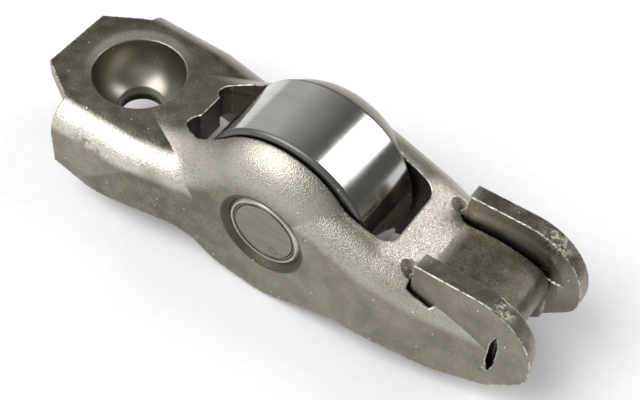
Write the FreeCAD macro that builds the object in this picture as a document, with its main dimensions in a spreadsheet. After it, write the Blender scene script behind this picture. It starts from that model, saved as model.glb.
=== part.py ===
import FreeCAD, Part
import Sketcher
import math
import os
import re

# Roller finger follower: a stamped rocker arm that rocks on a ball at one end,
# pushes a valve stem with the pad at the other and carries the cam on a needle roller.
# Millimetres. Origin: centre of the socket rim, on the upper face of the web.
# +X runs from the socket to the valve pad, +Y across, +Z out of the socket.

SIZES = [
    # Sheet metal of the lever
    ("sheet_thickness", 2.9, "wall and web thickness"),
    ("bend_radius", 3.0, "outer radius of the bends between web and walls"),
    ("tail_length", 7.3, "socket centre back to the tail edge"),
    ("tail_tip_half_width", 3.65, "half width of the tail edge"),
    ("tail_root_half_width", 6.05, "half width of the tail where the walls start"),
    ("tail_thickness", 1.8, "web thickness at the tail"),
    ("wall_start", 3.4, "socket centre back to the end of the walls"),
    ("roller_outer_half", 7.05, "half width over the walls at the roller"),
    ("socket_flare", 1.3, "how much further out the walls stand at the socket"),
    ("waist_start", 4.4, "x where the walls start to close in"),
    ("waist_end", 12.0, "x where the walls run straight again"),
    ("waist_round", 5.0, "radius of both corners of the waist"),
    ("taper_start", 29.0, "x where the walls start to close towards the pad"),
    ("taper_round", 14.0, "radius of the corners of the taper"),
    # Wall edge on the cam side
    ("edge_tail", 6.5, "depth of the wall edge at its socket end"),
    ("edge_socket", 7.7, "depth of the wall edge below the socket"),
    ("edge_socket_x", 0.8, "x where it is that deep"),
    ("edge_waist", 7.0, "depth of the wall edge at the waist"),
    ("edge_waist_x", 4.9, "x where it is that deep"),
    ("edge_rise", 9.2, "depth of the wall edge where the roller lobe starts"),
    ("edge_lobe", 9.9, "depth of the wall edge below the roller pin"),
    ("edge_valve", 7.5, "depth of the wall edge behind the roller"),
    ("edge_pad", 8.1, "depth of the wall edge below the pad"),
    ("edge_pad_x", 34.8, "x where it is that deep"),
    ("edge_round", 5.0, "radius of the corners of the wall edge"),
    ("lobe_front", 8.35, "roller lobe: pin back to its start"),
    ("lobe_rise", 5.35, "roller lobe: pin back to the end of its rise"),
    ("lobe_back", 7.9, "roller lobe: pin on to its end"),
    # Hump that carries the roller pin
    ("hump_radius", 8.05, "radius of the crest of the hump"),
    ("hump_lead", 0.25, "crest centre ahead of the pin, towards the socket"),
    ("hump_foot_round", 14.0, "radius of the hollow between socket and hump"),
    ("hump_shoulder", 4.7, "outer radius of the bends over the hump"),
    ("hump_run_out", 2.2, "length from that hollow on to where the hump ends in the web"),
    ("saddle_height", 2.68, "height of the hollow behind the hump"),
    ("web_rise", 4.55, "hidden web inside the hump: pin back to where it starts to rise"),
    ("web_ridge", 1.45, "hidden web inside the hump: pin on to its ridge"),
    ("web_ridge_round", 8.0, "radius of that ridge"),
    ("saddle_round", 7.0, "radius of that hollow"),
    # Pin, needles and roller
    ("pin_x", 18.55, "socket centre to pin centre"),
    ("pin_z", 1.7, "pin centre below the web at the socket"),
    ("pin_radius", 3.59, "radius of the roller pin"),
    ("pin_recess", 0.33, "pin end below the wall face"),
    ("pin_edge", 0.25, "chamfer of the pin ends"),
    ("bore_chamfer", 0.55, "chamfer of the pin bore"),
    ("stake_radius", 3.0, "radius of the staking groove in the pin ends"),
    ("stake_width", 0.22, "half width of the staking groove"),
    ("stake_depth", 0.2, "depth of the staking groove"),
    ("roller_radius", 8.41, "outer radius of the roller"),
    ("roller_gap", 0.4, "gap between the roller and the walls"),
    ("roller_round", 0.4, "round of the roller edges"),
    ("needle_radius", 0.75, "radius of one needle"),
    ("needle_inset", 0.15, "needle end inside the roller face"),
    ("needle_play", 0.04, "running clearance on each side of a needle"),
    # Window in the web
    ("window_left", 8.0, "x of the socket side of the window"),
    ("window_right", 28.9, "x of the valve side of the window"),
    ("window_gap", 0.2, "gap between the roller and the window beside it"),
    ("window_left_step", 0.75, "how much narrower the window is on each side at the socket"),
    ("window_flare", 1.6, "length over which it widens from there"),
    ("window_right_step", 0.35, "how much narrower it is on each side at the valve"),
    ("window_round", 1.5, "corner radius at the valve side"),
    ("relief_radius", 0.95, "radius of the corner reliefs at the socket side"),
    # Pivot socket
    ("socket_radius", 4.25, "radius of the ball socket"),
    ("socket_centre", 0.31, "sphere centre below the rim"),
    ("dome_thickness", 1.7, "metal around the socket"),
    ("dome_flat", 2.6, "radius of the flat around the oil hole"),
    ("oil_hole_radius", 2.06, "radius of the oil hole"),
    ("rim_edge", 0.22, "bevel of the socket rim"),
    # Valve pad and guide ears
    ("pad_start", 32.27, "x of the crease between slope and pad"),
    ("pad_end", 40.6, "x of the free edge of the pad"),
    ("pad_end_round", 1.9, "radius over which the pad turns down to its free edge"),
    ("pad_start_height", 0.3, "height of the crease"),
    ("pad_end_depth", 0.48, "depth of the free edge of the pad"),
    ("pad_peak", 1.0, "height of the crown's tangent point"),
    ("pad_crown", 13.0, "crown radius of the pad"),
    ("pad_thickness", 2.0, "thickness of the pad at its free edge"),
    ("groove_width", 0.32, "width of the grooves beside the pad"),
    ("groove_depth", 1.3, "depth of the grooves beside the pad"),
    ("guide_half_gap", 3.12, "half gap between the guide ears"),
    ("ear_thickness", 1.98, "thickness of the guide ears"),
    ("ear_start", 31.87, "x of the blunt end of the ears"),
    ("ear_height", 2.85, "height of the ears at their blunt end"),
    ("ear_root", 0.9, "depth of the lower corner of the blunt end"),
    ("ear_root_round", 1.2, "radius of that corner"),
    ("ear_gap", 0.3, "gap around the root of the ears"),
    ("ear_bevel_drop", 0.5, "how far the rim of the ears slopes down inwards"),
    ("ear_rim", 0.08, "flat left on that rim outside the slope"),
    ("hollow_radius", 1.2, "radius of the hollow ahead of each ear"),
    ("hollow_depth", 1.05, "how deep its taper goes for that radius"),
    ("hollow_x", 31.5, "x of the hollows"),
    ("hollow_z", 0.0, "height of their floors"),
    ("nose_radius", 5.7, "radius of the rounded nose"),
    ("nose_x", 37.55, "x of the nose centre"),
    ("nose_z", 2.4, "depth of the nose centre"),
    ("nose_corner", 4.0, "depth of the lower nose corner"),
    ("nose_corner_round", 2.6, "radius of the lower nose corner"),
    ("nose_foot_x", 39.8, "x where the nose meets the wall edge"),
    ("nose_foot_z", 7.3, "depth where the nose meets the wall edge"),
    ("slit_x", 39.85, "x of the slit between wall and nose plate"),
    ("slit_z", 2.6, "depth of its middle"),
    ("slit_half_height", 2.5, "half height of the slit"),
    ("slit_half_width", 0.36, "half width of the slit"),
    ("slit_depth", 1.2, "depth of the slit into the wall"),
]
ALIASES = {alias for alias, value, meaning in SIZES}
SOCKET_HALF = "(roller_outer_half + socket_flare)"
NOSE_HALF = "(guide_half_gap + ear_thickness)"
CREST_X = "(pin_x - hump_lead)"
PEAK = "(hump_radius * sqrt(2) - pin_z)"
SADDLE_X = f"({CREST_X} + {PEAK} - saddle_height)"
FALL = f"((saddle_height - pad_start_height) / (pad_start - {SADDLE_X}))"
ROLLER_HALF = "(roller_outer_half - sheet_thickness - roller_gap)"
WINDOW_HALF = f"({ROLLER_HALF} + window_gap)"
NEEDLES = 17

doc = FreeCAD.newDocument("rocker_arm")
sheet = doc.addObject("Spreadsheet::Sheet", "sizes")
for row, (alias, value, meaning) in enumerate(SIZES, 1):
    sheet.set(f"A{row}", alias)
    sheet.set(f"B{row}", str(value))
    sheet.set(f"C{row}", meaning)
    sheet.setAlias(f"B{row}", alias)
doc.recompute()


def bound(formula):
    """The formula with each plain name pointing at its cell of the sheet."""
    return re.sub(r"[a-z_]+", lambda word: "sizes." * (word.group() in ALIASES) + word.group(), formula)


# Building blocks

def new_sketch(body, name, role):
    """A sketch on one of the body's own origin planes."""
    sketch = body.newObject("Sketcher::SketchObject", name)
    plane = next(feature for feature in body.Origin.OriginFeatures if feature.Role == role)
    sketch.AttachmentSupport = [(plane, "")]
    sketch.MapMode = "FlatFace"
    return sketch


def add_outline(sketch, corners):
    """A closed straight-sided outline whose corners are pairs of formulas."""
    first = sketch.GeometryCount
    count = len(corners)
    ring = [FreeCAD.Vector(math.cos(turn), math.sin(turn), 0)
            for turn in (2 * math.pi * step / count for step in range(count))]
    for step in range(count):
        sketch.addGeometry(Part.LineSegment(ring[step], ring[(step + 1) % count]))
    for step in range(count):
        joined = (first + step, 2, first + (step + 1) % count, 1)
        sketch.addConstraint(Sketcher.Constraint("Coincident", *joined))
    for step, (across, up) in enumerate(corners):
        for kind, formula in (("DistanceX", across), ("DistanceY", up)):
            index = sketch.addConstraint(Sketcher.Constraint(kind, first + step, 1, 1.0))
            sketch.setExpression(f"Constraints[{index}]", bound(formula))
    doc.recompute()


def mirrored(corners):
    """The outline that starts on one side and comes back on the other side of the X axis."""
    return corners + [(across, f"-({up})") for across, up in reversed(corners)]


def pad(body, name, sketch, width):
    """Material of the given width, half to each side of the sketch."""
    feature = body.newObject("PartDesign::Pad", name)
    feature.Profile = sketch
    feature.SideType = "Symmetric"
    feature.setExpression("Length", bound(width))
    doc.recompute()
    return feature


def pocket(body, name, sketch):
    """A cut through everything, to both sides of the sketch."""
    before = body.Shape.Volume
    feature = body.newObject("PartDesign::Pocket", name)
    feature.Profile = sketch
    feature.SideType = "Symmetric"
    feature.Type = "ThroughAll"
    doc.recompute()
    if not feature.Shape.Volume < before:
        raise RuntimeError(f"{name} removes nothing")
    return feature


def round_edges(body, name, edges, radius):
    """A fillet of one radius along the listed edges of the body's last feature."""
    base = body.Tip
    feature = body.newObject("PartDesign::Fillet", name)
    feature.Base = (base, edges)
    feature.setExpression("Radius", bound(radius))
    doc.recompute()
    return feature


def corner_edges(body, sketch, picked):
    """The edges that the picked corners of a sketch leave on a prism."""
    normal = sketch.Placement.Rotation.multVec(FreeCAD.Vector(0, 0, 1))
    found = []
    for corner in picked:
        point = sketch.Placement.multVec(sketch.Geometry[corner].StartPoint)
        for number, edge in enumerate(body.Tip.Shape.Edges, 1):
            offsets = [(vertex.Point - point).cross(normal).Length for vertex in edge.Vertexes]
            if len(offsets) == 2 and max(offsets) < 1e-4:
                found.append(f"Edge{number}")
    return found


def shoulder_edges(body, lowest, inside):
    """The upper outer edges of a prism: above lowest and further out than inside."""
    found = []
    for number, edge in enumerate(body.Tip.Shape.Edges, 1):
        middle = edge.valueAt((edge.FirstParameter + edge.LastParameter) / 2)
        ends = [vertex.Point for vertex in edge.Vertexes]
        runs_along = abs(ends[0].x - ends[-1].x) > 1e-3
        if runs_along and abs(middle.y) > inside and min(end.z for end in ends) > lowest:
            found.append(f"Edge{number}")
    return found


def size(alias):
    return float(sheet.get(alias))


def solid_of(name, kind, **formulas):
    """A primitive of the given kind whose properties are formulas of the sheet."""
    block = doc.addObject(kind, name)
    for key, formula in formulas.items():
        path = {"x": "Placement.Base.x", "y": "Placement.Base.y", "z": "Placement.Base.z"}.get(key, key)
        block.setExpression(path, bound(formula))
    return block


def joined(name, shapes):
    result = doc.addObject("Part::MultiFuse", name)
    result.Shapes = shapes
    result.Refine = True
    doc.recompute()
    return result


def removed(name, base, tools):
    """The base without the tools; each tool has to take something away."""
    result = base
    for number, tool in enumerate(tools, 1):
        cut = doc.addObject("Part::Cut", f"{name}_{number}")
        cut.Base = result
        cut.Tool = tool
        cut.Refine = number == len(tools)
        doc.recompute()
        if not cut.Shape.Volume < result.Shape.Volume:
            raise RuntimeError(f"{tool.Name} takes nothing off {name}")
        result = cut
    return result


def rim_edges(body, radius):
    """The full circles of a turned body that have the given radius."""
    found = []
    for number, edge in enumerate(body.Tip.Shape.Edges, 1):
        start = edge.Vertexes[0].Point
        if len(edge.Vertexes) == 1 and abs(math.hypot(start.x, start.z) - radius) < 1e-4:
            found.append(f"Edge{number}")
    return found

def turned_body(name, corners):
    """A body turned about its own Y axis from an outline of radius and length."""
    body = doc.addObject("PartDesign::Body", name)
    sketch = new_sketch(body, f"{name}_section", "XY_Plane")
    add_outline(sketch, corners)
    turn = body.newObject("PartDesign::Revolution", f"{name}_turned")
    turn.Profile = sketch
    turn.ReferenceAxis = (sketch, ["V_Axis"])
    turn.Angle = 360
    doc.recompute()
    return body


def placed(body, x, y, z):
    for path, formula in (("x", x), ("y", y), ("z", z)):
        body.setExpression(f"Placement.Base.{path}", bound(formula))
    doc.recompute()
    return body


def lying(cylinders):
    """Cylinders and cones turned so that they run from their base towards -Y."""
    for cylinder in cylinders:
        cylinder.Placement.Rotation = FreeCAD.Rotation(FreeCAD.Vector(1, 0, 0), 90)
    return cylinders


# The channel: web, bends and walls

def channel_form(name, inset, inner):
    """Web and walls drawn in by inset; the inner form hollows the outer one."""
    body = doc.addObject("PartDesign::Body", name)
    side = new_sketch(body, f"{name}_side", "XZ_Plane")
    tail = "-tail_length - pad_end" if inner else "-tail_length"
    pad_under = "-pad_end_depth - pad_thickness" if inner else "-pad_end_depth"
    add_outline(side, [
        (tail, f"-{inset}"),
        ("pin_x - web_rise", f"-{inset}"),
        ("pin_x + web_ridge", f"saddle_height + {FALL} * ({SADDLE_X} - pin_x - web_ridge) - {inset}"),
        ("pad_start", f"pad_start_height - {inset}"),
        ("pad_end", pad_under),
        ("pad_end", "-2 * edge_lobe"),
        (tail, "-2 * edge_lobe"),
    ])
    pad(body, f"{name}_block", side, f"4 * {SOCKET_HALF}")
    round_edges(body, f"{name}_ridge", corner_edges(body, side, [2]), "web_ridge_round")
    plan = new_sketch(body, f"{name}_plan", "XY_Plane")
    around = f"3 * {SOCKET_HALF}"
    add_outline(plan, mirrored([("-tail_length - 2 * pad_end", around), ("2 * pad_end", around)]))
    end = "guide_half_gap" if inner else NOSE_HALF
    add_outline(plan, mirrored([
        (f"{tail} - 1", f"{SOCKET_HALF} - {inset}"),
        ("waist_start", f"{SOCKET_HALF} - {inset}"),
        ("waist_end", f"roller_outer_half - {inset}"),
        ("taper_start", f"roller_outer_half - {inset}"),
        ("slit_x", end),
        ("pad_end + 1", end),
    ]))
    pocket(body, f"{name}_sides", plan)
    outer_ring = 4
    if not inner:
        taper = corner_edges(body, plan, [outer_ring + corner for corner in (3, 8)])
        round_edges(body, f"{name}_taper", taper, "taper_round")
    waist = corner_edges(body, plan, [outer_ring + corner for corner in (1, 2, 9, 10)])
    round_edges(body, f"{name}_waist", waist, "waist_round")
    if not inner:
        shoulders = shoulder_edges(body, -size("edge_tail"), size("guide_half_gap") / 2)
        round_edges(body, f"{name}_bends", shoulders, "bend_radius")
    return body


def hump_form():
    """The hump that stands on the web and carries the roller pin, with its wide bends."""
    body = doc.addObject("PartDesign::Body", "hump")
    side = new_sketch(body, "hump_side", "XZ_Plane")
    add_outline(side, [
        ("0", "0"),
        (f"{CREST_X} - {PEAK}", "0"),
        (CREST_X, PEAK),
        (SADDLE_X, "saddle_height"),
        (f"{SADDLE_X} + hump_run_out", f"saddle_height - {FALL} * hump_run_out"),
        (f"{SADDLE_X} + hump_run_out", "-2 * sheet_thickness"),
        ("0", "-2 * sheet_thickness"),
    ])
    pad(body, "hump_block", side, "2 * roller_outer_half")
    round_edges(body, "hump_foot", corner_edges(body, side, [1]), "hump_foot_round")
    round_edges(body, "hump_crest", corner_edges(body, side, [2]), "hump_radius")
    round_edges(body, "hump_saddle", corner_edges(body, side, [3]), "saddle_round")
    shoulders = shoulder_edges(body, -size("sheet_thickness") / 2, size("guide_half_gap"))
    round_edges(body, "hump_bends", shoulders, "hump_shoulder")
    return body


def ear_rims(body):
    """The nose arcs of both ears on their faces towards the guide gap."""
    found = []
    for number, edge in enumerate(body.Tip.Shape.Edges, 1):
        middle = edge.valueAt((edge.FirstParameter + edge.LastParameter) / 2)
        beside = abs(abs(middle.y) - size("guide_half_gap")) < 1e-4
        arc = edge.Curve.TypeId == "Part::GeomCircle" and abs(edge.Curve.Radius - size("nose_radius")) < 1e-4
        if beside and arc:
            found.append(f"Edge{number}")
    return found


def ear_form():
    """Both guide ears with their nose plates, from one outline split by the guide gap."""
    body = doc.addObject("PartDesign::Body", "ears")
    side = new_sketch(body, "ears_side", "XZ_Plane")
    add_outline(side, [
        ("ear_start", "-ear_root"),
        ("ear_start", "ear_height"),
        ("nose_x + nose_radius", "nose_radius - nose_z"),
        ("nose_x + nose_radius", "-nose_corner"),
        ("nose_foot_x", "-nose_foot_z"),
        ("pad_start + 2 * ear_root_round", "-nose_foot_z"),
        ("pad_start + 2 * ear_root_round", "-ear_root"),
    ])
    pad(body, "ears_block", side, f"2 * {NOSE_HALF}")
    round_edges(body, "ears_nose", corner_edges(body, side, [2]), "nose_radius")
    round_edges(body, "ears_corner", corner_edges(body, side, [3]), "nose_corner_round")
    round_edges(body, "ears_root", corner_edges(body, side, [0]), "ear_root_round")
    gap = new_sketch(body, "ears_gap", "XY_Plane")
    add_outline(gap, mirrored([("0", "guide_half_gap"), ("2 * pad_end", "guide_half_gap")]))
    pocket(body, "ears_split", gap)
    split = body.Tip
    inner_rims = ear_rims(body)
    bevel = body.newObject("PartDesign::Chamfer", "ears_bevel")
    bevel.Base = (split, inner_rims)
    bevel.ChamferType = "Two distances"
    bevel.setExpression("Size", bound("ear_bevel_drop"))
    bevel.setExpression("Size2", bound("ear_thickness - ear_rim"))
    doc.recompute()
    return body


def pad_form():
    """The crowned valve pad between the grooves."""
    body = doc.addObject("PartDesign::Body", "valve_pad_block")
    side = new_sketch(body, "valve_pad_side", "XZ_Plane")
    add_outline(side, [
        ("pad_start", "pad_start_height"),
        ("(pad_start + pad_end) / 2", "pad_peak"),
        ("pad_end", "-pad_end_depth"),
        ("pad_end", "-pad_end_depth - pad_thickness"),
        ("pad_start", "-pad_end_depth - pad_thickness"),
    ])
    pad(body, "valve_pad_width", side, "2 * (guide_half_gap - groove_width)")
    round_edges(body, "valve_pad_crown", corner_edges(body, side, [1]), "pad_crown")
    round_edges(body, "valve_pad_end", corner_edges(body, side, [2]), "pad_end_round")
    return body


def edge_trim():
    """What is cut off below the wavy cam-side edge of the walls."""
    body = doc.addObject("PartDesign::Body", "edge_trim")
    side = new_sketch(body, "edge_trim_side", "XZ_Plane")
    add_outline(side, [
        ("-wall_start", "-edge_tail"),
        ("edge_socket_x", "-edge_socket"),
        ("edge_waist_x", "-edge_waist"),
        ("pin_x - lobe_front", "-edge_waist"),
        ("pin_x - lobe_rise", "-edge_rise"),
        ("pin_x", "-edge_lobe"),
        ("pin_x + lobe_back", "-edge_valve"),
        ("taper_start", "-edge_valve"),
        ("edge_pad_x", "-edge_pad"),
        ("nose_foot_x", "-nose_foot_z"),
        ("nose_x + nose_radius", "-nose_corner"),
        ("2 * nose_foot_x", "-nose_corner"),
        ("2 * nose_foot_x", "-3 * edge_lobe"),
        ("-2 * tail_length", "-3 * edge_lobe"),
        ("-2 * tail_length", "-edge_tail"),
    ])
    pad(body, "edge_trim_block", side, f"4 * {SOCKET_HALF}")
    round_edges(body, "edge_trim_waves", corner_edges(body, side, range(1, 8)), "edge_round")
    return body


def tail_trim():
    """What is cut off beside the tail, down to the ends of the walls."""
    body = doc.addObject("PartDesign::Body", "tail_trim")
    plan = new_sketch(body, "tail_trim_plan", "XY_Plane")
    for side in ("", "-"):
        add_outline(plan, [
            ("-tail_length", f"{side}tail_tip_half_width"),
            ("-wall_start", f"{side}tail_root_half_width"),
            ("-wall_start", f"{side}2 * {SOCKET_HALF}"),
            ("-2 * tail_length", f"{side}2 * {SOCKET_HALF}"),
            ("-2 * tail_length", f"{side}tail_tip_half_width"),
        ])
    pad(body, "tail_trim_block", plan, "6 * edge_lobe")
    return body


def window_form():
    """The opening for the roller, with its two corner reliefs."""
    body = doc.addObject("PartDesign::Body", "window_block")
    plan = new_sketch(body, "window_plan", "XY_Plane")
    add_outline(plan, mirrored([
        ("window_left", f"{WINDOW_HALF} - window_left_step"),
        ("window_left + window_flare", WINDOW_HALF),
        ("pin_x + hump_radius", WINDOW_HALF),
        ("window_right", f"{WINDOW_HALF} - window_right_step"),
    ]))
    pad(body, "window_depth", plan, "4 * roller_radius")
    round_edges(body, "window_corners", corner_edges(body, plan, [3, 4]), "window_round")
    corner = f"{WINDOW_HALF} - window_left_step - relief_radius"
    reliefs = both_sides("window_relief", "Part::Cylinder", corner, Radius="relief_radius",
                         Height="4 * roller_radius", x="window_left + relief_radius / 3",
                         z="-2 * roller_radius")
    return joined("window_outline", [body] + reliefs)


def slit_form(label, sign):
    """The slit where the wall and the nose plate part."""
    body = doc.addObject("PartDesign::Body", f"slit_{label}")
    side = new_sketch(body, f"slit_{label}_side", "XZ_Plane")
    add_outline(side, [
        ("0", "slit_half_height"),
        ("slit_half_width", "slit_half_height / 2"),
        ("slit_half_width", "-slit_half_height / 2"),
        ("0", "-slit_half_height"),
        ("-slit_half_width", "-slit_half_height / 2"),
        ("-slit_half_width", "slit_half_height / 2"),
    ])
    pad(body, f"slit_{label}_depth", side, "2 * slit_depth")
    return placed(body, "slit_x", f"{sign}{NOSE_HALF}", "-slit_z")


def both_sides(name, kind, y, **formulas):
    """The same primitive on the near and on the far side."""
    return [solid_of(f"{name}_{label}", kind, y=f"{sign}({y})", **formulas)
            for label, sign in (("near", "-"), ("far", ""))]


def across(name, kind, inner, outer, **formulas):
    """The same cylinder on both sides, from the inner to the outer half width."""
    near = solid_of(f"{name}_near", kind, y=f"-({inner})", Height=f"{outer} - ({inner})", **formulas)
    far = solid_of(f"{name}_far", kind, y=outer, Height=f"{outer} - ({inner})", **formulas)
    return lying([near, far])


def bore_tools():
    """The bore of the roller pin and the bevels at its ends."""
    bore = solid_of("pin_bore", "Part::Cylinder", Radius="pin_radius", Height="4 * roller_outer_half",
                    x="pin_x", y="2 * roller_outer_half", z="-pin_z")
    wide = "pin_radius + bore_chamfer"
    near = solid_of("bore_bevel_near", "Part::Cone", Radius1="pin_radius", Radius2=wide,
                    Height="bore_chamfer", x="pin_x", y="bore_chamfer - roller_outer_half", z="-pin_z")
    far = solid_of("bore_bevel_far", "Part::Cone", Radius1=wide, Radius2="pin_radius", Height="bore_chamfer",
                   x="pin_x", y="roller_outer_half", z="-pin_z")
    return lying([bore, near, far])


def socket_tools():
    """The ball socket, the bevel of its rim and the oil hole."""
    ball = solid_of("socket_ball", "Part::Sphere", Radius="socket_radius", x="0", y="0", z="-socket_centre")
    rim = solid_of("socket_rim", "Part::Cone", Radius1="socket_radius - rim_edge",
                   Radius2="socket_radius + rim_edge", Height="2 * rim_edge", x="0", y="0", z="-rim_edge")
    hole = solid_of("oil_hole", "Part::Cylinder", Radius="oil_hole_radius", Height="2 * socket_radius",
                    x="0", y="0", z="-2 * socket_radius")
    return [ball, rim, hole]


def dome_form():
    """The metal around the ball socket: two tapers down to a flat around the oil hole."""
    shell = "(socket_radius + dome_thickness)"
    top = "(sheet_thickness / 2)"
    foot = f"(socket_centre + sqrt({shell} ^ 2 - dome_flat ^ 2))"
    levels = [top, f"(({top} + 2 * {foot}) / 3)", foot]
    radii = [f"sqrt({shell} ^ 2 - ({level} - socket_centre) ^ 2)" for level in levels]
    tapers = [solid_of(f"dome_taper_{step}", "Part::Cone", Radius1=radii[step], Radius2=radii[step - 1],
                       Height=f"{levels[step]} - {levels[step - 1]}", x="0", y="0", z=f"-{levels[step]}")
              for step in (1, 2)]
    return joined("dome", tapers)


def lever():
    """The one-piece stamping: channel, hump, socket dome, pad and guide ears."""
    outside = joined("outside", [channel_form("outer_channel", "0", False), hump_form()])
    inside = channel_form("channel_space", "sheet_thickness", True)
    behind_tail = solid_of("behind_tail", "Part::Box", Length="2 * tail_length", Width=f"4 * {SOCKET_HALF}",
                           Height="3 * edge_lobe", x="-wall_start - 2 * tail_length",
                           y=f"-2 * {SOCKET_HALF}", z="-tail_thickness - 3 * edge_lobe")
    pad_end_space = solid_of("pad_end_space", "Part::Box", Length="2 * pad_end_round",
                             Width="2 * guide_half_gap", Height="2 * pad_thickness",
                             x="pad_end - pad_end_round", y="-guide_half_gap",
                             z="-pad_end_depth - pad_thickness")
    ear_roots = across("ear_root_gap", "Part::Cylinder", "guide_half_gap", f"{NOSE_HALF} + ear_gap",
                       Radius="ear_root_round + ear_gap", x="ear_start + ear_root_round",
                       z="ear_root_round - ear_root")
    hollows = both_sides("ear_hollow", "Part::Cone", f"(guide_half_gap + {NOSE_HALF}) / 2",
                         Radius1="hollow_radius / 4", Radius2="2 * hollow_radius", Height="2 * hollow_depth",
                         x="hollow_x", z="hollow_z")
    channel = removed("channel", outside, [inside, behind_tail, tail_trim(), pad_end_space]
                      + ear_roots + hollows)
    stamped = joined("stamped", [channel, dome_form(), ear_form(), pad_form()])
    grooves = both_sides("pad_groove", "Part::Box", "guide_half_gap - groove_width / 2", Length="pad_end",
                         Width="groove_width", Height="3 * groove_depth", x="ear_start", z="-groove_depth")
    slits = [slit_form("near", "-"), slit_form("far", "")]
    return removed("lever_cut", stamped, socket_tools() + [window_form()] + bore_tools()
                   + [edge_trim()] + grooves + slits)


# Pin, roller and needles

def axle_pin():
    """The roller pin: bevelled ends with a staking groove in each."""
    end = "roller_outer_half - pin_recess"
    half = [
        ("0", end),
        ("stake_radius - stake_width", end),
        ("stake_radius", f"{end} - stake_depth"),
        ("stake_radius + stake_width", end),
        ("pin_radius - pin_edge", end),
        ("pin_radius", f"{end} - pin_edge"),
    ]
    return placed(turned_body("axle_pin", mirrored(half)), "pin_x", "0", "-pin_z")


def roller_ring():
    """The cam roller: a ring that runs on the needles."""
    bore = "pin_radius + 2 * needle_radius + 2 * needle_play"
    ring = turned_body("roller_ring", mirrored([
        (f"{bore} + roller_round", ROLLER_HALF),
        (bore, f"{ROLLER_HALF} - roller_round"),
    ]) + [
        ("roller_radius", f"-{ROLLER_HALF}"),
        ("roller_radius", ROLLER_HALF),
    ])
    round_edges(ring, "roller_ring_edges", rim_edges(ring, size("roller_radius")), "roller_round")
    return placed(ring, "pin_x", "0", "-pin_z")

def needle(number):
    """One of the needles between pin and roller."""
    turn = number * 360 / NEEDLES
    track = "(pin_radius + needle_play + needle_radius)"
    roll = turned_body(f"needle_{number:02d}", mirrored([
        ("0", f"{ROLLER_HALF} - needle_inset"),
        ("needle_radius", f"{ROLLER_HALF} - needle_inset"),
    ]))
    return placed(roll, f"pin_x + {track} * cos({turn})", "0", f"{track} * sin({turn}) - pin_z")


def written(pieces):
    """Checks every object of the document, then writes one file for each piece."""
    for piece in doc.Objects:
        if "Invalid" in piece.State or "Error" in piece.State:
            raise RuntimeError(f"{piece.Name} did not rebuild")
    os.makedirs("parts", exist_ok=True)
    for label, piece in pieces.items():
        piece.Label = label
        shape = piece.Shape
        if shape.isNull() or not shape.isValid() or len(shape.Solids) != 1:
            raise RuntimeError(f"{label} is not one valid solid")
        shape.exportStep(f"parts/{label}.step")


PIECES = {"lever_body": lever(), "axle_pin": axle_pin(), "roller_ring": roller_ring()}
PIECES.update({f"needle_{number:02d}": needle(number) for number in range(1, NEEDLES + 1)})
written(PIECES)
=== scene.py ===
import math

import bmesh
import bpy
from bpy.props import FloatProperty, FloatVectorProperty, PointerProperty, StringProperty
from mathutils import Matrix, Vector


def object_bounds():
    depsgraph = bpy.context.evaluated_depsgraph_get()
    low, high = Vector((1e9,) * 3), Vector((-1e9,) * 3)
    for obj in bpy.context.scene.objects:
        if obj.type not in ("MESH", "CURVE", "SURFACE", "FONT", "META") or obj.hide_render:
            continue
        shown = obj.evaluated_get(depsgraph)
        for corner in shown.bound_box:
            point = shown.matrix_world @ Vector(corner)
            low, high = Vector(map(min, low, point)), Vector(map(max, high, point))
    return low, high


bl_info = {
    "name": "Roller rocker arm",
    "version": (1, 0, 0),
    "blender": (4, 5, 0),
    "location": "View3D > Sidebar > Rocker arm",
    "description": "Dresses the stamped rocker arm, its roller, pin and needles, and sets up the photo stage",
    "category": "Object",
}

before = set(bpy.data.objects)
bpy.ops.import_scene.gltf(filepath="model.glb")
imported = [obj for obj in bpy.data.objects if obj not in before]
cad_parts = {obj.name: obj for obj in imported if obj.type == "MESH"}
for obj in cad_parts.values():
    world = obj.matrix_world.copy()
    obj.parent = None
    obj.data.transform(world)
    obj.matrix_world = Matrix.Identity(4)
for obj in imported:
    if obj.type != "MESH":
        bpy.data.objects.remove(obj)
CAD_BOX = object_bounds()
MM = 0.001
NEEDLES = sorted(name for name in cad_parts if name.startswith("needle_"))
# Numbers of the Mix node's two inputs and of its output, for colours and for plain values.
MIX_SOCKETS = {"RGBA": ("i6", "i7", 2), "FLOAT": ("i2", "i3", 0)}


def box_of(name):
    """The low and the high corner of a CAD node's box, in millimetres."""
    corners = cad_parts[name].bound_box
    return Vector(corners[0]) / MM, Vector(corners[6]) / MM


# Zones of the lever's finish

# Each zone has its middle and half sizes in millimetres, and the softness of its border as a share of them.
# A half size of 0 sets no limit along that axis.
PIN_PLACE = sum(box_of("axle_pin"), Vector()) / 2
PIN_BEVEL_SHADE = (PIN_PLACE, (4.25, 0, 4.25), 0.02)
SOCKET = ((0, 0, -0.31), (4.32, 4.32, 4.6), 0.01)
OIL_HOLE_SHADE = ((0, 0, -5.6), (2.2, 2.2, 2.0), 0.05)
SOCKET_RIM = ((-0.35, 0.45, 0), (4.85, 4.85, 0.4), 0.06)
FAR_RIM = ((-3.2, 3.4, 0), (5.2, 5.2, 1.0), 0.35)
ROUND_SOCKET = ((1.2, 0, 0), (7.4, 6.2, 4.0), 0.12)
WEB_FACE = ((1.0, 0, 0), (12.0, 7.0, 0.3), 0.1)
WEB = ((1.5, 0, 0.3), (11.6, 6.6, 2.6), 0.12)
NEAR_BEND = ((2.0, -7.6, -0.8), (9.0, 2.2, 1.6), 0.45)
SLOPE = ((30.4, 0, 1.4), (2.6, 8.0, 2.4), 0.25)
PAD = ((36.6, 0, 0.3), (4.6, 3.0, 2.6), 0.1)
STEM_SIDE = ((35.9, 3.12, 1.6), (3.6, 0.3, 1.9), 0.35)
OVAL_MARK = ((0.4, -8.35, -3.0), (2.2, 0.6, 2.6), 0.1)
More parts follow.
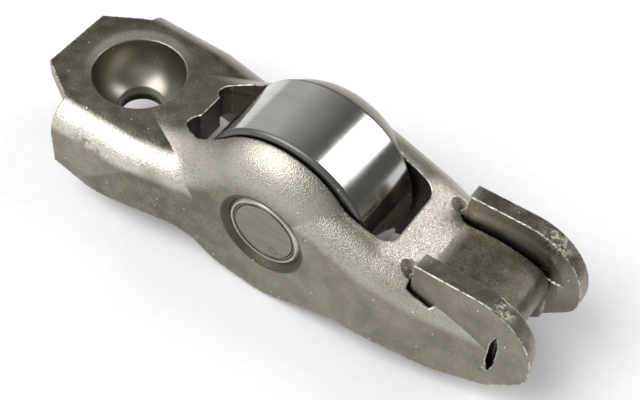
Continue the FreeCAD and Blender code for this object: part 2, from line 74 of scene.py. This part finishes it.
WAIST_SHADE = ((7.1, -7.3, -5.2), (1.7, 0.9, 3.4), 0.5)
DARKER_WALL = ((12.0, -8.0, -4.0), (12.0, 2.5, 12.0), 0.1)
CREASES = [((x, y, z), (3.2, 2.4, 4.2), 0.4) for x, z in ((10.6, 1.6), (25.2, 2.4)) for y in (-7.0, 7.0)]
TORN_CORNERS = [
    ((39.6, -3.1, 1.5), (1.1, 0.3, 1.4), 0.4),
    ((40.4, 3.1, 2.6), (1.0, 0.3, 1.6), 0.4),
    ((40.0, -4.0, 2.7), (1.3, 0.9, 0.8), 0.4),
    ((40.1, 4.3, 2.5), (1.7, 0.9, 0.9), 0.4),
    ((39.6, -5.2, -5.1), (0.35, 0.5, 0.3), 0.4),
]
# The lines that bound the darker part of the wall: how steep each rises, and its height at the socket.
DARKER_WALL_LINES = ((0.85, -6.4), (0.12, -0.3))
# Where along the part the darker field has faded out, and where it is full.
DARKER_WALL_FADE = (20.0, 11.0)
# Between which places along the part, and between which heights, the rims of the ears begin.
EAR_START = (32.0, 33.0)
EAR_HEIGHT = (-1.0, 0.6)
# How far up a face looks when it begins to belong to the web, the slope or a rim, and when it fully does.
WEB_UP = (0.84, 0.95)
SLOPE_UP = (0.6, 0.85)
RIM_UP = (0.15, 0.5)
# A bend looks both up and sideways. The product of the two tells it from the flat faces.
BEND_TURN = (0.16, 0.42)
# Radii to which the finish rounds the sharp edges and the creases.
EDGE_ROUND = 0.26
CREASE_ROUND = 1.6

# Places on the pin and on the roller

PIN_EDGE_ROUND = 0.08
# Radii between which the bright rim of the pin starts, and between which its dark groove starts and ends.
PIN_RIM = (3.18, 3.26)
PIN_GROOVE = (2.8, 2.9, 3.2, 3.1)
PUNCH_RING = ((19.65, 0, -3.42), (0.45, 0, 0.45), 0.1)
PUNCH_MIDDLE = ((19.65, 0, -3.42), (0.3, 0, 0.3), 0.15)
# The ground face of the roller ends a little inside its rounded edges.
ROLLER_HALF = box_of("roller_ring")[1].y
ROLLER_SIDE = (ROLLER_HALF - 0.45, ROLLER_HALF - 0.3)

# Stage

# Each softbox: where it hangs as seen from the part, its width and its height.
SOFTBOXES = {
    "softbox_valve_side": ((0.48, 0.57, 0.66), 0.17, 0.34),
    "softbox_socket_side": ((-0.42, -0.45, 0.79), 0.42, 0.36),
}
# The room is pale all round, and dark only high up behind the valve end. The fade gives the cosines of the
# angles from that side at which the room starts to darken and is darkest.
DARK_SIDE = (0.55, 0.65, 0.52)
DARK_FADE = (0.25, 0.85)
# The ways ahead and up as the camera sees them, the width of its film and the nearest that it sees.
CAMERA_AHEAD = (-0.31017, 0.53734, -0.78426)
CAMERA_ABOVE = (-0.47369, 0.62790, 0.61755)
FILM_WIDTH = 36.0
CAMERA_NEAREST = 0.005


# Colours and nodes

def linear(text):
    """A linear RGBA colour from an sRGB hex value such as 8A8578."""
    channels = [int(text[start:start + 2], 16) / 255 for start in (0, 2, 4)]
    return [c / 12.92 if c <= 0.04045 else ((c + 0.055) / 1.055) ** 2.4 for c in channels] + [1.0]


def add_node(tree, kind, settings=None, **links):
    """A node with its settings; links name an input socket and give a value or another node's output.

    A name such as i0 gives the input by its number, and an underscore stands for a space.
    """
    node = tree.nodes.new(kind)
    for key, value in (settings or {}).items():
        setattr(node, key, value)
    for key, value in links.items():
        numbered = key[0] == "i" and key[1:].isdigit()
        socket = node.inputs[int(key[1:]) if numbered else key.replace("_", " ")]
        if isinstance(value, bpy.types.NodeSocket):
            tree.links.new(value, socket)
        else:
            socket.default_value = value
    return node


def new_material(name):
    """An empty node material, its tree, and places on the piece in millimetres."""
    material = bpy.data.materials.new(name)
    material.use_nodes = True
    tree = material.node_tree
    tree.nodes.clear()
    here = add_node(tree, "ShaderNodeTexCoord")
    place = add_node(tree, "ShaderNodeVectorMath", {"operation": "SCALE"},
                     Vector=here.outputs["Object"], Scale=1 / MM)
    return material, tree, place.outputs["Vector"]


def put_on(node_name, material):
    """The finish of one CAD node, in place of the plain one it came with."""
    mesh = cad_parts[node_name].data
    mesh.materials.clear()
    mesh.materials.append(material)


def overlap(tree, *masks):
    """A mask that is 1 only where all the masks are; a plain number among them weakens it."""
    product = masks[0]
    for mask in masks[1:]:
        node = add_node(tree, "ShaderNodeMath", {"operation": "MULTIPLY"}, i0=product, i1=mask)
        product = node.outputs["Value"]
    return product


def levels(tree, value, *marks):
    """A mask from a value: of each pair of marks, the first is where it is 0 and the second where it is 1."""
    steps = []
    for start, end in zip(marks[::2], marks[1::2]):
        step = add_node(tree, "ShaderNodeMapRange", {"interpolation_type": "SMOOTHSTEP"}, Value=value,
                        From_Min=start, From_Max=end)
        steps.append(step.outputs["Result"])
    return overlap(tree, *steps)


def outside(tree, mask):
    """The mask turned round: 1 where it was 0."""
    return levels(tree, mask, 1.0, 0.0)


def spot(tree, place, centre, half_sizes, soft):
    """A mask, 1 inside an ellipsoid and 0 outside; a half size of 0 leaves that axis free."""
    away = add_node(tree, "ShaderNodeVectorMath", {"operation": "SUBTRACT"}, i0=place, i1=centre)
    shares = [1 / half if half else 0 for half in half_sizes]
    scaled = add_node(tree, "ShaderNodeVectorMath", {"operation": "MULTIPLY"},
                      i0=away.outputs["Vector"], i1=shares)
    reach = add_node(tree, "ShaderNodeVectorMath", {"operation": "LENGTH"}, i0=scaled.outputs["Vector"])
    return levels(tree, reach.outputs["Value"], 1 + soft, 1 - soft)


def layered(tree, base, layers, kind="RGBA"):
    """The base value with each layer laid over it where its mask is 1."""
    low, high, out = MIX_SOCKETS[kind]
    for mask, value in layers:
        mixed = add_node(tree, "ShaderNodeMix", {"data_type": kind}, i0=mask, **{low: base, high: value})
        base = mixed.outputs[out]
    return base


def clouds(tree, place, size, detail=3.0, start=0.35, end=0.65):
    """A cloudy mask whose patches are about the given size in millimetres."""
    noise = add_node(tree, "ShaderNodeTexNoise", Vector=place, Scale=1 / size, Detail=detail)
    return levels(tree, noise.outputs["Fac"], start, end)


def specks(tree, place, spacing, radius, share):
    """A mask of small round specks: one in each cell of the given spacing, kept for a share of the cells.

    The outer 40 percent of a speck's radius is soft.
    """
    cells = add_node(tree, "ShaderNodeTexVoronoi", Vector=place, Scale=1 / spacing)
    near = levels(tree, cells.outputs["Distance"], radius / spacing, 0.6 * radius / spacing)
    draw = add_node(tree, "ShaderNodeSeparateColor", Color=cells.outputs["Color"])
    return overlap(tree, near, levels(tree, draw.outputs["Red"], 1 - share, 1 - 0.98 * share))


def below_line(tree, place, slope, height):
    """A mask of what lies below a straight line drawn on the side of the part, soft over 0.2 mm."""
    over = add_node(tree, "ShaderNodeVectorMath", {"operation": "DOT_PRODUCT"}, i0=place, i1=(-slope, 0, 1))
    return levels(tree, over.outputs["Value"], height + 0.1, height - 0.1)


def hairlines(tree, place, length, width, share):
    """A mask of fine scratches that run along the part."""
    stretched = add_node(tree, "ShaderNodeMapping", Vector=place, Rotation=(0.15, 0.35, 0.1),
                         Scale=(1 / length, 1 / width, 1 / width))
    noise = add_node(tree, "ShaderNodeTexNoise", Vector=stretched.outputs["Vector"], Scale=1.0, Detail=1.0)
    return levels(tree, noise.outputs["Fac"], 1 - share, 1 - 0.8 * share)


def facing(tree):
    """How far the surface looks up, and how far it looks to either side."""
    surface = add_node(tree, "ShaderNodeNewGeometry")
    turn = add_node(tree, "ShaderNodeSeparateXYZ", Vector=surface.outputs["Normal"])
    sideways = add_node(tree, "ShaderNodeMath", {"operation": "ABSOLUTE"}, i0=turn.outputs["Y"])
    return turn.outputs["Z"], sideways.outputs["Value"]


def soft_edges(tree, radius, wide=(), wide_radius=0.0):
    """A normal that rounds sharp edges off, and a mask that is 1 along them.

    The wide radius holds where the masks in wide are 1. Both radii are in millimetres.
    """
    reach = layered(tree, radius * MM, [(mask, wide_radius * MM) for mask in wide], "FLOAT")
    rounded = add_node(tree, "ShaderNodeBevel", {"samples": 8}, Radius=reach)
    flat = add_node(tree, "ShaderNodeNewGeometry")
    alike = add_node(tree, "ShaderNodeVectorMath", {"operation": "DOT_PRODUCT"}, i0=rounded.outputs["Normal"],
                     i1=flat.outputs["Normal"])
    # An edge begins where rounding turns the surface by 6 degrees and is full at 26: these are the cosines.
    return rounded.outputs["Normal"], levels(tree, alike.outputs["Value"], 0.995, 0.9)


def corners(tree, distance):
    """A mask that is 1 deep in corners, hollows and slits of about the given width in millimetres.

    It starts where less than three quarters of the sky is open, and is full where a fifth is.
    """
    open_sky = add_node(tree, "ShaderNodeAmbientOcclusion", {"samples": 6}, Distance=distance * MM)
    return levels(tree, open_sky.outputs["AO"], 0.75, 0.2)


def steel(tree, colour, roughness, normal):
    """The bare metal surface, with its output."""
    shader = add_node(tree, "ShaderNodeBsdfPrincipled", Base_Color=colour, Metallic=1.0, Roughness=roughness,
                      Normal=normal)
    add_node(tree, "ShaderNodeOutputMaterial", Surface=shader.outputs["BSDF"])


# What a user may change

class RockerArmLooks(bpy.types.PropertyGroup):
    """Colours and sizes of the dressed part and of its stage."""
    steel_colour: StringProperty(name="Lever steel", description="sRGB hex value of the tumbled steel",
                                 default="7C766A")
    bright_colour: StringProperty(name="Rubbed steel", default="E0DCD2",
                                  description="sRGB hex value where the steel is rubbed bright")
    # The corner colour is laid on as painted shade deep in corners, hollows and slits.
    corner_shade_colour: StringProperty(name="Dark steel", description="sRGB hex value of the scale left in corners",
                                default="3A372F")
    socket_colour: StringProperty(name="Socket steel", description="sRGB hex value of the polished socket",
                                  default="928E83")
    roller_colour: StringProperty(name="Roller steel", description="sRGB hex value of the ground roller",
                                  default="C6C5C0")
    pin_colour: StringProperty(name="Pin steel", description="sRGB hex value of the pin and needles",
                               default="827E75")
    camera_place: FloatVectorProperty(name="Camera", description="Where the camera stands", size=3,
                                      default=(0.05594, -0.06253, 0.08812), subtype="TRANSLATION",
                                      unit="LENGTH")
    lens: FloatProperty(name="Lens", description="Focal length of the camera in millimetres", default=75.47)
    floor_radius: FloatProperty(name="Floor radius", description="Half the width of the floor", default=1.5,
                                unit="LENGTH")
    lamp_distance: FloatProperty(name="Lamp distance", description="From the part to each softbox",
                                 default=0.5, unit="LENGTH")
    lamp_level: FloatProperty(name="Lamp level", description="Brightness of the softboxes against white",
                              default=4.4)
    room_level: FloatProperty(name="Room level", description="Brightness of the room against white",
                              default=0.62)
    dark_level: FloatProperty(name="Dark level", description="Brightness of the dark side of the room",
                              default=0.12)


def looks():
    """The colours and sizes that the scene holds."""
    return bpy.context.scene.rocker_arm_looks


# Finishes

def dark_skin_and_painted_shade(tree, place, up):
    """Layers of painted shade on the web, and darker tones round the pin, on the pad and on the blotchy
    heat-treated rims of the ears.
    """
    along = add_node(tree, "ShaderNodeSeparateXYZ", Vector=place).outputs
    # The flat top of the web is painted darker, a painted reflection of the dark side of the room.
    web = overlap(tree, spot(tree, place, *WEB), levels(tree, up, *WEB_UP))
    # The web is painted darker along both bends and round the far side of the socket: painted shade.
    web_edge_shade = overlap(tree, outside(tree, spot(tree, place, *ROUND_SOCKET)), spot(tree, place, *WEB_FACE))
    # The wall round the pin is drawn a little darker, with a clear line at its upper edge.
    under = [below_line(tree, place, *line) for line in DARKER_WALL_LINES]
    darker_wall = overlap(tree, *under, spot(tree, place, *DARKER_WALL), levels(tree, along["X"], *DARKER_WALL_FADE))
    # The rims of the ears are blotchy.
    rims = overlap(tree, levels(tree, along["X"], *EAR_START), levels(tree, along["Z"], *EAR_HEIGHT),
                   levels(tree, up, *RIM_UP), clouds(tree, place, 0.9, detail=4.0, start=0.2, end=0.6))
    return [
        (web, linear("69645A")),
        (web_edge_shade, linear("58544A")),
        (darker_wall, linear("6E695D")),
        (spot(tree, place, *PAD), linear("625D53")),
        (rims, linear("5C574D"))]


def painted_highlights(tree, place, up, sideways):
    """Layers of painted highlight on the bends, the valve slope, the socket's far lip and the far ear's inner
    face.
    """
    fine = clouds(tree, place, 0.16, detail=2.0, start=0.1, end=0.5)
    bends = overlap(tree, levels(tree, overlap(tree, sideways, up), *BEND_TURN), fine)
    slope = overlap(tree, spot(tree, place, *SLOPE), levels(tree, up, *SLOPE_UP),
                    clouds(tree, place, 0.3, detail=4.0, start=0.1, end=0.55))
    # The socket's far lip stands up a little; its highlight is painted.
    lip = overlap(tree, spot(tree, place, *SOCKET_RIM), spot(tree, place, *FAR_RIM), fine)
    # Each layer below is a painted highlight; the near bend gets the brightest.
    return [
        (spot(tree, place, *STEM_SIDE), linear("B8B2A5")),
        (bends, linear("B7B2A6")),
        (overlap(tree, bends, spot(tree, place, *NEAR_BEND)), linear("DAD6CC")),
        (slope, linear("D6CDC4")),
        (lip, linear("A8A397"))]


def oval_mark_and_waist_shade(tree, place):
    """Layers for the faint oval mark and the painted shade of the waist, on the near wall."""
    oval = overlap(tree, spot(tree, place, *OVAL_MARK), clouds(tree, place, 0.8))
    return [
        (oval, linear("8F897B")),
        # Painted shade where the near wall turns at the waist.
        (spot(tree, place, *WAIST_SHADE), linear("6A6459"))]


def tumbled_steel():
    """Stamped, hardened and tumbled steel: grey-brown and satin, with a fine grain and rubbed edges."""
    material, tree, place = new_material("tumbled_case_hardened_steel")
    up, sideways = facing(tree)
    # Patches a few millimetres wide make the flat walls look handled and not painted.
    patches = clouds(tree, place, 4.0)
    # The real grain is about 0.05 mm, too fine for the picture, so it is drawn at 0.13 mm.
    grain = clouds(tree, place, 0.13, detail=2.0)
    pale_grain = overlap(tree, grain, clouds(tree, place, 1.5), 0.4)
    pits = clouds(tree, place, 0.2, detail=2.0, start=0.5, end=0.68)
    dark_grain = overlap(tree, pits, clouds(tree, place, 1.8), 0.3)
    # The creases where the hump runs into the waist and into the slope are rolled smooth and not rubbed.
    creases = [spot(tree, place, *crease) for crease in CREASES]
    rounded, edges = soft_edges(tree, EDGE_ROUND, creases, CREASE_ROUND)
    rubbed = overlap(tree, edges, clouds(tree, place, 0.4, start=0.38, end=0.55),
                     *(outside(tree, crease) for crease in creases))
    # The punch has left bright torn metal on the inner corners of the ears and under the near slit.
    torn = layered(tree, 0.0, [(spot(tree, place, *corner), 1.0) for corner in TORN_CORNERS], "FLOAT")
    crumbs = add_node(tree, "ShaderNodeTexNoise", Vector=place, Scale=1 / 0.5, Detail=4.0).outputs["Fac"]
    flaked = overlap(tree, torn, levels(tree, crumbs, 0.45, 0.55))
    # The ball has polished the socket to a darker, smoother olive tone.
    socket = spot(tree, place, *SOCKET)
    nicks = hairlines(tree, place, length=1.6, width=0.07, share=0.24)
    tone = layered(tree, linear(looks().steel_colour), [
        (patches, linear("8A8478")),
        *dark_skin_and_painted_shade(tree, place, up),
        *painted_highlights(tree, place, up, sideways),
        *oval_mark_and_waist_shade(tree, place),
        # Painted shade deep in corners, hollows and slits.
        (corners(tree, 1.2), linear(looks().corner_shade_colour)),
        (rubbed, linear(looks().bright_colour)),
        (flaked, linear("C2BDB0")),
        (nicks, linear("A8A49A")),
        (pale_grain, linear("B4AEA2")),
        (dark_grain, linear("4A463C")),
        (socket, linear(looks().socket_colour)),
        # The oil hole is painted black and the bevel round the pin painted dark, both as painted shade.
        (spot(tree, place, *OIL_HOLE_SHADE), linear("24221E")),
        (spot(tree, place, *PIN_BEVEL_SHADE), linear("57534A")),
        # A few specks of dust lie all over.
        (specks(tree, place, spacing=1.0, radius=0.085, share=0.42), linear("F0EEE8"))])
    gloss = layered(tree, 0.3, [(patches, 0.36), (grain, 0.4), (socket, 0.34), (rubbed, 0.28)], "FLOAT")
    height = layered(tree, 0.0, [(grain, 0.5), (nicks, 0.0), (flaked, 1.0), (socket, 0.25)], "FLOAT")
    # Torn metal stands up by a third of a millimetre, and grain and scratches by a few hundredths.
    broken = add_node(tree, "ShaderNodeBump", Strength=1.0, Distance=0.35 * MM,
                      Height=overlap(tree, torn, crumbs), Normal=rounded)
    relief = add_node(tree, "ShaderNodeBump", Strength=1.0, Distance=0.03 * MM, Height=height,
                      Normal=broken.outputs["Normal"])
    steel(tree, tone, gloss, relief.outputs["Normal"])
    return material


def ground_steel():
    """Ground and polished bearing steel of the roller, with fine lines round its rim."""
    material, tree, place = new_material("ground_bearing_steel")
    # The lines that the grinding wheel leaves are a few hundredths wide, drawn here at 0.12 mm.
    stretched = add_node(tree, "ShaderNodeMapping", Vector=place, Scale=(0.12, 1 / 0.12, 0.12))
    lines = add_node(tree, "ShaderNodeTexNoise", Vector=stretched.outputs["Vector"], Scale=1.0, Detail=2.0)
    fine = levels(tree, lines.outputs["Fac"], 0.3, 0.7)
    smears = clouds(tree, place, 3.0)
    # The rounded edges and the side faces are made rougher, and painted darker as painted shade.
    across = add_node(tree, "ShaderNodeSeparateXYZ", Vector=place)
    sideways = add_node(tree, "ShaderNodeMath", {"operation": "ABSOLUTE"}, i0=across.outputs["Y"])
    dull_and_shaded = levels(tree, sideways.outputs["Value"], *ROLLER_SIDE)
    tone = layered(tree, linear(looks().roller_colour), [
        (overlap(tree, fine, smears), linear("B8B7B1")),
        (dull_and_shaded, linear("6A6964")),
        # Painted shade deep in corners.
        (corners(tree, 1.5), linear("4A4A48")),
        (specks(tree, place, spacing=1.4, radius=0.07, share=0.25), linear("E4E4E2"))])
    gloss = layered(tree, 0.13, [(smears, 0.16), (dull_and_shaded, 0.4)], "FLOAT")
    relief = add_node(tree, "ShaderNodeBump", Strength=0.15, Distance=0.003 * MM, Height=fine)
    steel(tree, tone, gloss, relief.outputs["Normal"])
    return material


def pin_steel():
    """Turned pin steel: faint rings on the staked ends, brighter on their rim."""
    material, tree, place = new_material("turned_pin_steel")
    away = add_node(tree, "ShaderNodeVectorMath", {"operation": "SUBTRACT"}, i0=place, i1=PIN_PLACE)
    flat = add_node(tree, "ShaderNodeVectorMath", {"operation": "MULTIPLY"}, i0=away.outputs["Vector"],
                    i1=(1, 0, 1))
    from_middle = add_node(tree, "ShaderNodeVectorMath", {"operation": "LENGTH"}, i0=flat.outputs["Vector"])
    radius = from_middle.outputs["Value"]
    # Turning leaves rings about 0.05 mm apart, drawn here at 0.15 mm.
    rings = add_node(tree, "ShaderNodeTexNoise", {"noise_dimensions": "1D"}, W=radius, Scale=1 / 0.15,
                     Detail=1.0)
    turned = levels(tree, rings.outputs["Fac"], 0.35, 0.65)
    grain = clouds(tree, place, 0.2)
    # Wiping has left slanting streaks, and a centre punch has left a small ring.
    slanted = add_node(tree, "ShaderNodeMapping", Vector=place, Rotation=(0, 0.9, 0), Scale=(0.5, 1, 4.0))
    streaks = add_node(tree, "ShaderNodeTexNoise", Vector=slanted.outputs["Vector"], Scale=1.0, Detail=3.0)
    ring = overlap(tree, spot(tree, place, *PUNCH_RING), outside(tree, spot(tree, place, *PUNCH_MIDDLE)))
    rounded, edges = soft_edges(tree, PIN_EDGE_ROUND)
    tone = layered(tree, linear(looks().pin_colour), [
        (overlap(tree, turned, grain), linear("7E7A71")),
        (levels(tree, streaks.outputs["Fac"], 0.42, 0.62), linear("8C887E")),
        (ring, linear("68645B")),
        (levels(tree, radius, *PIN_GROOVE), linear("57534A")),
        (levels(tree, radius, *PIN_RIM), linear("BDB9AF")),
        # Painted shade deep in corners.
        (corners(tree, 0.4), linear("4C4940")),
        (edges, linear("C4C1B8"))])
    gloss = layered(tree, 0.3, [(grain, 0.38), (edges, 0.25)], "FLOAT")
    relief = add_node(tree, "ShaderNodeBump", Strength=0.3, Distance=0.006 * MM, Height=turned,
                      Normal=rounded)
    steel(tree, tone, gloss, relief.outputs["Normal"])
    return material


def needle_steel():
    """Polished needle steel under a film of oil, which makes it a little uneven in tone and gloss."""
    material, tree, place = new_material("polished_needle_steel")
    tone = layered(tree, linear(looks().pin_colour), [(clouds(tree, place, 0.8), linear("8E8B84"))])
    gloss = layered(tree, 0.12, [(clouds(tree, place, 0.5), 0.2)], "FLOAT")
    relief = add_node(tree, "ShaderNodeBump", Strength=0.1, Distance=0.003 * MM,
                      Height=clouds(tree, place, 0.3))
    steel(tree, tone, gloss, relief.outputs["Normal"])
    return material


class ROCKER_OT_lever(bpy.types.Operator):
    """Gives the lever its tumbled steel finish"""
    bl_idname = "rocker.lever"
    bl_label = "Lever body"

    def execute(self, context):
        put_on("lever_body", tumbled_steel())
        return {"FINISHED"}


class ROCKER_OT_roller(bpy.types.Operator):
    """Gives the roller its ground and polished finish"""
    bl_idname = "rocker.roller"
    bl_label = "Cam roller"

    def execute(self, context):
        put_on("roller_ring", ground_steel())
        return {"FINISHED"}


class ROCKER_OT_pin(bpy.types.Operator):
    """Gives the pin its turned and staked ends"""
    bl_idname = "rocker.pin"
    bl_label = "Roller pin"

    def execute(self, context):
        put_on("axle_pin", pin_steel())
        return {"FINISHED"}


class ROCKER_OT_needles(bpy.types.Operator):
    """Gives the needles their polished finish"""
    bl_idname = "rocker.needles"
    bl_label = "Needles"

    def execute(self, context):
        finish = needle_steel()
        for name in NEEDLES:
            put_on(name, finish)
        return {"FINISHED"}


class ROCKER_OT_stage(bpy.types.Operator):
    """Sets up the floor, the studio light and the camera of the photograph"""
    bl_idname = "rocker.stage"
    bl_label = "Photo stage"

    def execute(self, context):
        add_floor()
        add_world()
        for name, softbox in SOFTBOXES.items():
            add_softbox(name, *softbox)
        add_camera()
        return {"FINISHED"}


# Floor, light and camera

def add_floor():
    """A matt white paper that the light renders white, with the part's shadow on it."""
    mesh = bpy.data.meshes.new("floor")
    form = bmesh.new()
    bmesh.ops.create_circle(form, cap_ends=True, segments=64, radius=looks().floor_radius,
                            matrix=Matrix.Translation((0, 0, CAD_BOX[0][2])))
    form.to_mesh(mesh)
    form.free()
    floor = bpy.data.objects.new("floor", mesh)
    bpy.context.scene.collection.objects.link(floor)
    # Matt paper gives soft grey shadows and a pale reflection in the walls of the lever.
    material, tree, place = new_material("matt_white_paper")
    fibres = clouds(tree, place, 0.8, start=0.3, end=0.7)
    tone = layered(tree, linear("FAFAFA"), [(fibres, linear("F8F8F8"))])
    paper = add_node(tree, "ShaderNodeBsdfDiffuse", Color=tone)
    add_node(tree, "ShaderNodeOutputMaterial", Surface=paper.outputs["BSDF"])
    mesh.materials.append(material)


def add_world():
    """A pale studio room with one dark side."""
    world = bpy.data.worlds.new("studio")
    world.use_nodes = True
    tree = world.node_tree
    tree.nodes.clear()
    way = add_node(tree, "ShaderNodeTexCoord")
    towards_dark = add_node(tree, "ShaderNodeVectorMath", {"operation": "DOT_PRODUCT"},
                            i0=way.outputs["Generated"], i1=Vector(DARK_SIDE).normalized())
    fade_start, fade_end = DARK_FADE
    shade = add_node(tree, "ShaderNodeMapRange", Value=towards_dark.outputs["Value"],
                     From_Min=fade_start, From_Max=fade_end,
                     To_Min=looks().room_level, To_Max=looks().dark_level)
    room = add_node(tree, "ShaderNodeBackground", Color=(1, 1, 1, 1), Strength=shade.outputs["Result"])
    add_node(tree, "ShaderNodeOutputWorld", Surface=room.outputs["Background"])
    bpy.context.scene.world = world


def add_softbox(name, direction, width, height):
    """A rectangular lamp that hangs in the given direction and looks at the part."""
    low, high = (Vector(corner) for corner in CAD_BOX)
    lamp = bpy.data.lights.new(name, "AREA")
    lamp.shape = "RECTANGLE"
    lamp.size = width
    lamp.size_y = height
    # At this energy a lamp of level 1 looks as bright as white.
    lamp.energy = math.pi * width * height * looks().lamp_level
    box = bpy.data.objects.new(name, lamp)
    bpy.context.scene.collection.objects.link(box)
    towards = Vector(direction).normalized()
    box.location = (low + high) / 2 + towards * looks().lamp_distance
    box.rotation_euler = towards.to_track_quat("Z", "Y").to_euler()


def add_camera():
    """The camera of the photograph, in its place and turn."""
    camera = bpy.data.cameras.new("photo_camera")
    camera.lens = looks().lens
    camera.sensor_width = FILM_WIDTH
    camera.clip_start = CAMERA_NEAREST
    eye = bpy.data.objects.new("photo_camera", camera)
    bpy.context.scene.collection.objects.link(eye)
    ahead = Vector(CAMERA_AHEAD).normalized()
    above = Vector(CAMERA_ABOVE).normalized()
    beside = ahead.cross(above)
    turn = Matrix((beside, above, -ahead)).transposed().to_4x4()
    eye.matrix_world = Matrix.Translation(looks().camera_place) @ turn
    bpy.context.scene.camera = eye


class ROCKER_PT_panel(bpy.types.Panel):
    """Lists the pieces and the looks that can be changed"""
    bl_idname = "ROCKER_PT_panel"
    bl_label = "Rocker arm"
    bl_space_type = "VIEW_3D"
    bl_region_type = "UI"
    bl_category = "Rocker arm"

    def draw(self, context):
        for step in STEPS:
            self.layout.operator(step.bl_idname)
        for name in RockerArmLooks.__annotations__:
            self.layout.prop(context.scene.rocker_arm_looks, name)


STEPS = (ROCKER_OT_lever, ROCKER_OT_roller, ROCKER_OT_pin, ROCKER_OT_needles, ROCKER_OT_stage)
CLASSES = (RockerArmLooks,) + STEPS + (ROCKER_PT_panel,)


def register():
    for kind in CLASSES:
        bpy.utils.register_class(kind)
    bpy.types.Scene.rocker_arm_looks = PointerProperty(type=RockerArmLooks)


def unregister():
    del bpy.types.Scene.rocker_arm_looks
    for kind in reversed(CLASSES):
        bpy.utils.unregister_class(kind)


def main():
    register()
    bpy.ops.rocker.lever()
    bpy.ops.rocker.roller()
    bpy.ops.rocker.pin()
    bpy.ops.rocker.needles()
    bpy.ops.rocker.stage()


if __name__ == "__main__":
    bpy.context.scene.view_settings.view_transform = "Standard"
    main()
